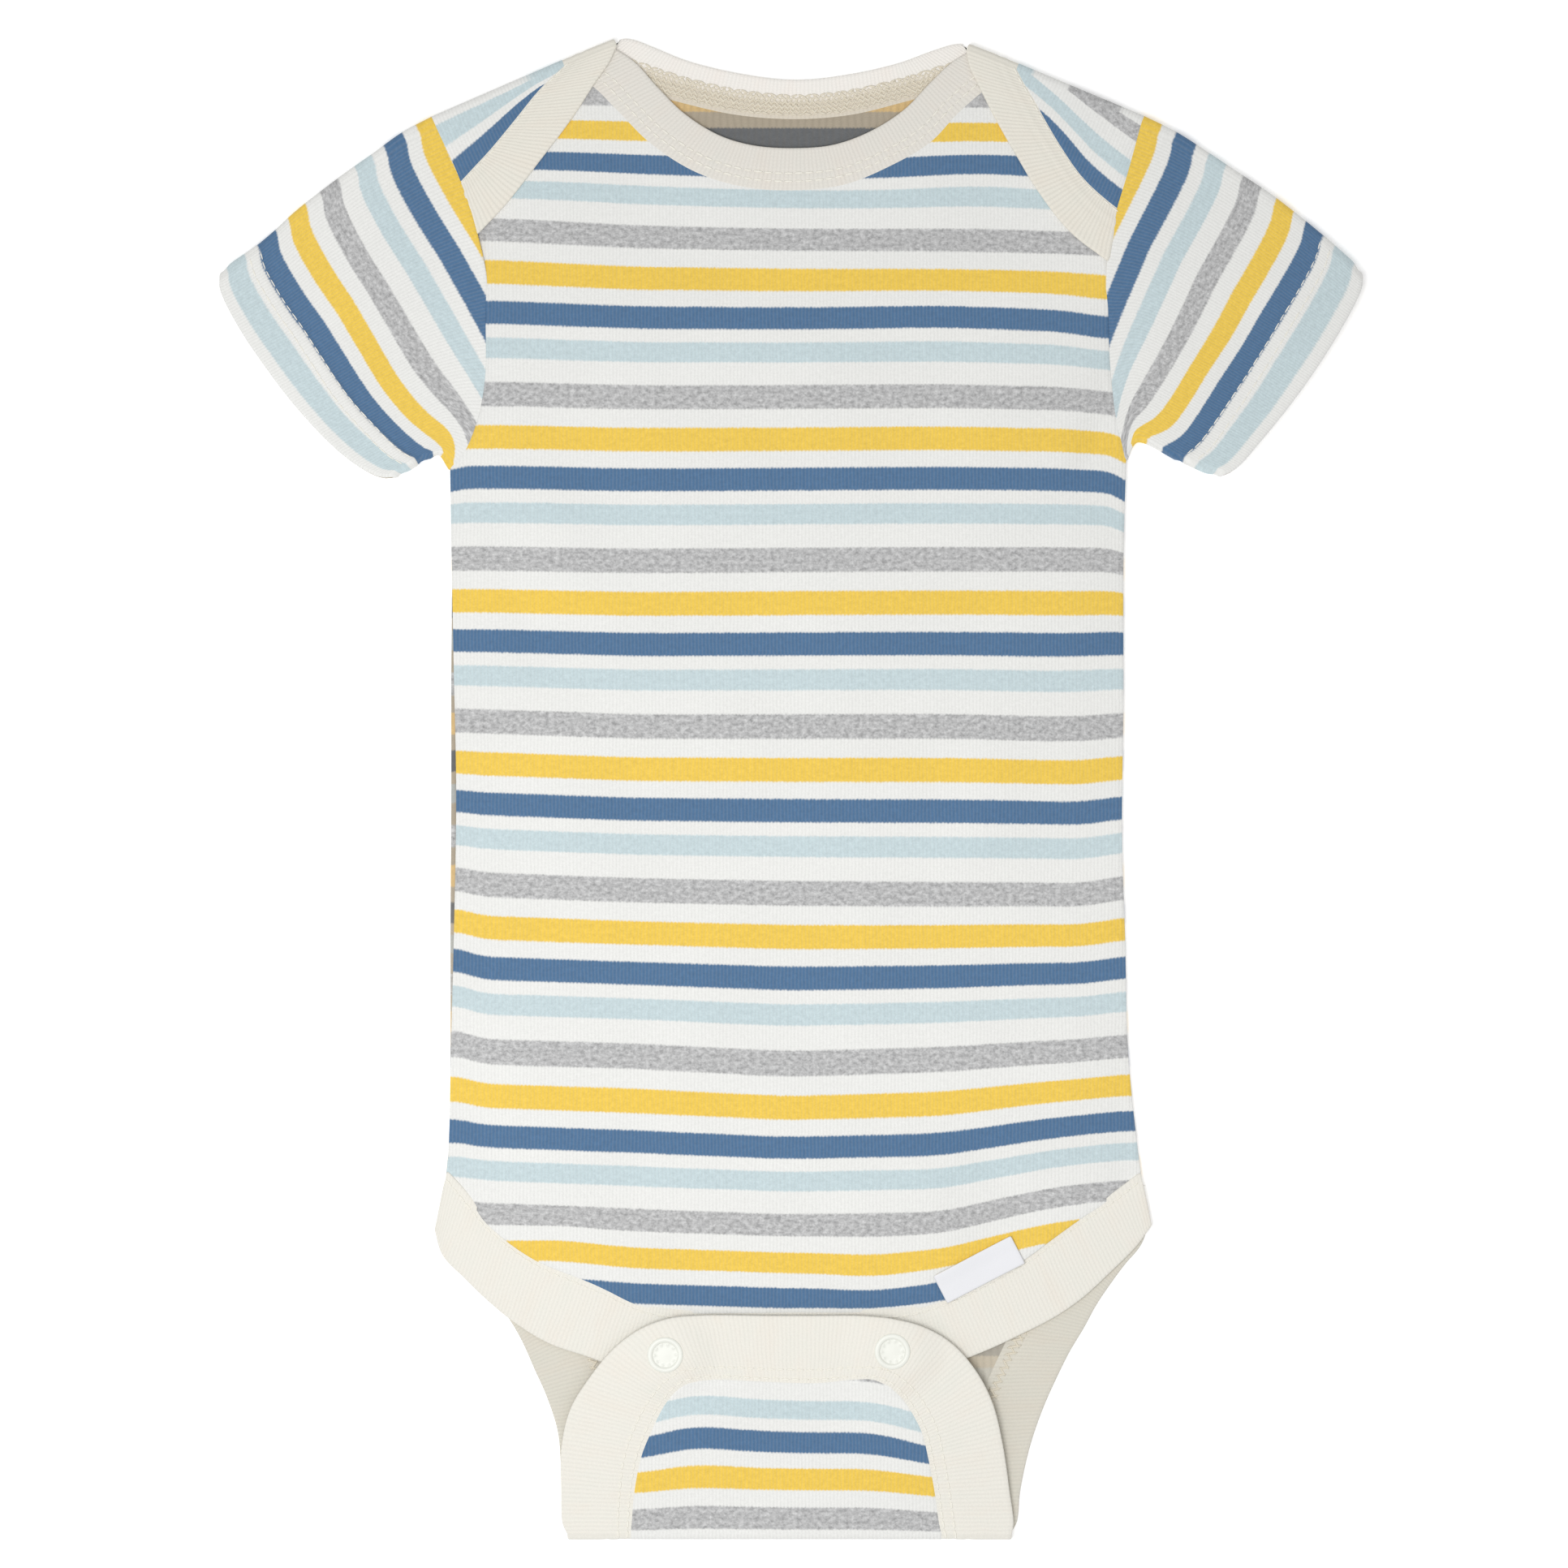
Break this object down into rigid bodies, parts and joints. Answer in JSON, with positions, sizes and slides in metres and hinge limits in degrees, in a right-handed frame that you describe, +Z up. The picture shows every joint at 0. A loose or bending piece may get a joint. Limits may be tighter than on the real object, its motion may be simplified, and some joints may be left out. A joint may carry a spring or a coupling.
{
  "type": "baby onesie",
  "caption": "Short-sleeve baby bodysuit with lap shoulders and a snap crotch, in striped cotton knit with rib bands, laid flat on its back.",
  "frame": {"origin": "on the surface that the garment lies on, under the middle of its outline", "axes": "+Y towards the neck, +X towards the sleeve on the right as it is looked down on, +Z up, out of the front"},
  "size_m": [0.3053, 0.4002, 0.0079],
  "materials": {
    "jersey": "white cotton jersey with printed stripes",
    "rib": "cream cotton rib",
    "snap_plastic": "smooth off-white",
    "label_weave": "fine white woven ribbon"
  },
  "bodies": {
    "root": {"front_panel": "jersey", "back_panel": "jersey", "sleeve_left": "jersey", "sleeve_right": "jersey", "neck_binding_front": "rib", "neck_binding_back": "rib", "leg_binding_front": "rib", "leg_binding_back": "rib", "snap_cap_left": "snap_plastic", "snap_cap_right": "snap_plastic", "snap_stud_left": "snap_plastic", "snap_stud_right": "snap_plastic", "side_label": "label_weave"}
  },
  "joints": []
}
